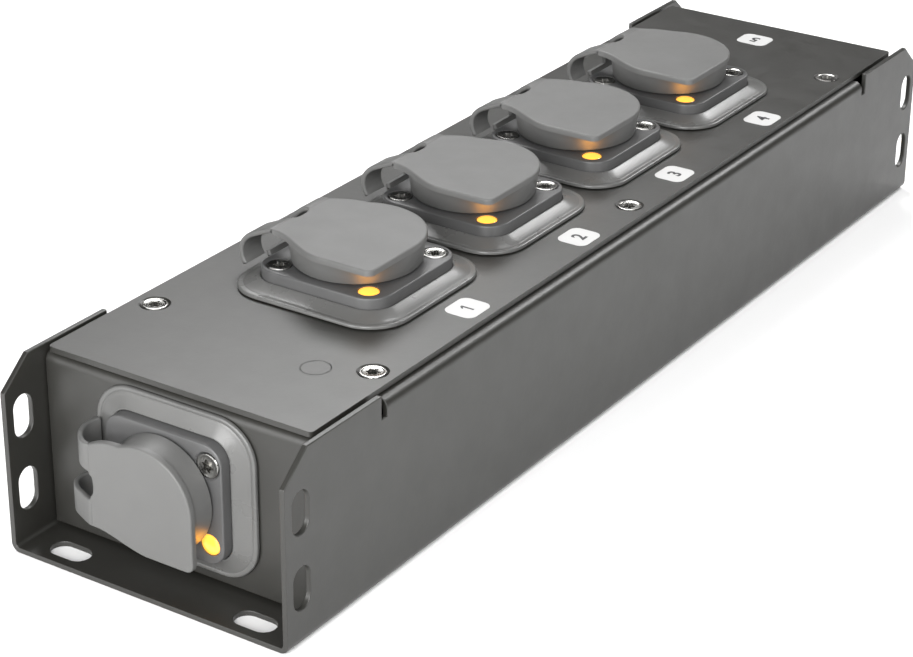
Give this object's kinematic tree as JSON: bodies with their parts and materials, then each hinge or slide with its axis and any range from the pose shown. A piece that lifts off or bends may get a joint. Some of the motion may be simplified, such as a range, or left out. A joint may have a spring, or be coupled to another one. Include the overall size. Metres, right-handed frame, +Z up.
{
  "type": "power distribution box",
  "caption": "Long folded steel box with capped locking power connectors along its top and on both ends, and slotted mounting wings.",
  "frame": {"origin": "on the floor, under the middle of the whole box", "axes": "X across the box, Y along it with the inlet at -Y and the rear outlet at +Y, Z up out of the cover"},
  "size_m": [0.068, 0.271, 0.0522],
  "materials": {
    "powder_coat": "satin dark grey powder coat",
    "rubber": "soft satin grey",
    "housing_plastic": "satin dark grey",
    "insert_plastic": "smooth dark grey",
    "amber_lens": "clear amber",
    "nickel_steel": "nickel plated",
    "loom_sleeve": "woven black sleeve"
  },
  "bodies": {
    "box": {"base_chassis": "powder_coat", "cover_screw_1": "nickel_steel", "cover_screw_2": "nickel_steel", "cover_screw_3": "nickel_steel", "cover_screw_4": "nickel_steel", "cover_screw_5": "nickel_steel", "cover_screw_6": "nickel_steel", "earth_stud": "nickel_steel", "front_end_plate": "powder_coat", "inlet_cap_straps": "rubber", "inlet_housing": "housing_plastic", "inlet_insert": "insert_plastic", "inlet_lens": "amber_lens", "inlet_pad": "rubber", "inlet_screw_1": "nickel_steel", "inlet_screw_2": "nickel_steel", "outlet_1_cap_straps": "rubber", "outlet_1_housing": "housing_plastic", "outlet_1_insert": "insert_plastic", "outlet_1_lens": "amber_lens", "outlet_1_pad": "rubber", "outlet_1_screw_1": "nickel_steel", "outlet_1_screw_2": "nickel_steel", "outlet_2_cap_straps": "rubber", "outlet_2_housing": "housing_plastic", "outlet_2_insert": "insert_plastic", "outlet_2_lens": "amber_lens", "outlet_2_pad": "rubber", "outlet_2_screw_1": "nickel_steel", "outlet_2_screw_2": "nickel_steel", "outlet_3_cap_straps": "rubber", "outlet_3_housing": "housing_plastic", "outlet_3_insert": "insert_plastic", "outlet_3_lens": "amber_lens", "outlet_3_pad": "rubber", "outlet_3_screw_1": "nickel_steel", "outlet_3_screw_2": "nickel_steel", "outlet_4_cap_straps": "rubber", "outlet_4_housing": "housing_plastic", "outlet_4_insert": "insert_plastic", "outlet_4_lens": "amber_lens", "outlet_4_pad": "rubber", "outlet_4_screw_1": "nickel_steel", "outlet_4_screw_2": "nickel_steel", "outlet_5_cap_straps": "rubber", "outlet_5_housing": "housing_plastic", "outlet_5_insert": "insert_plastic", "outlet_5_lens": "amber_lens", "outlet_5_pad": "rubber", "outlet_5_screw_1": "nickel_steel", "outlet_5_screw_2": "nickel_steel", "rear_end_plate": "powder_coat", "top_cover": "powder_coat", "wiring_loom": "loom_sleeve"},
    "inlet_lid": {"inlet_cap": "rubber"},
    "outlet_1_lid": {"outlet_1_cap": "rubber"},
    "outlet_2_lid": {"outlet_2_cap": "rubber"},
    "outlet_3_lid": {"outlet_3_cap": "rubber"},
    "outlet_4_lid": {"outlet_4_cap": "rubber"},
    "outlet_5_lid": {"outlet_5_cap": "rubber"}
  },
  "joints": [
    {"name": "inlet_cap_hinge", "type": "hinge", "parent": "box", "child": "inlet_lid", "pos_m": [-0.0138, -0.12988, 0.0212], "axis": [0, 0, -1], "range_deg": [0, 120], "deforming": ["inlet_cap_straps"]},
    {"name": "outlet_1_cap_hinge", "type": "hinge", "parent": "box", "child": "outlet_1_lid", "pos_m": [-0.0154, -0.06495, 0.04698], "axis": [0, -1, 0], "range_deg": [0, 150], "deforming": ["outlet_1_cap_straps"]},
    {"name": "outlet_2_cap_hinge", "type": "hinge", "parent": "box", "child": "outlet_2_lid", "pos_m": [-0.0154, -0.02165, 0.04698], "axis": [0, -1, 0], "range_deg": [0, 150], "deforming": ["outlet_2_cap_straps"]},
    {"name": "outlet_3_cap_hinge", "type": "hinge", "parent": "box", "child": "outlet_3_lid", "pos_m": [-0.0154, 0.02165, 0.04698], "axis": [0, -1, 0], "range_deg": [0, 150], "deforming": ["outlet_3_cap_straps"]},
    {"name": "outlet_4_cap_hinge", "type": "hinge", "parent": "box", "child": "outlet_4_lid", "pos_m": [-0.0154, 0.06495, 0.04698], "axis": [0, -1, 0], "range_deg": [0, 150], "deforming": ["outlet_4_cap_straps"]},
    {"name": "outlet_5_cap_hinge", "type": "hinge", "parent": "box", "child": "outlet_5_lid", "pos_m": [-0.0138, 0.12988, 0.0212], "axis": [0, 0, 1], "range_deg": [0, 120], "deforming": ["outlet_5_cap_straps"]}
  ]
}
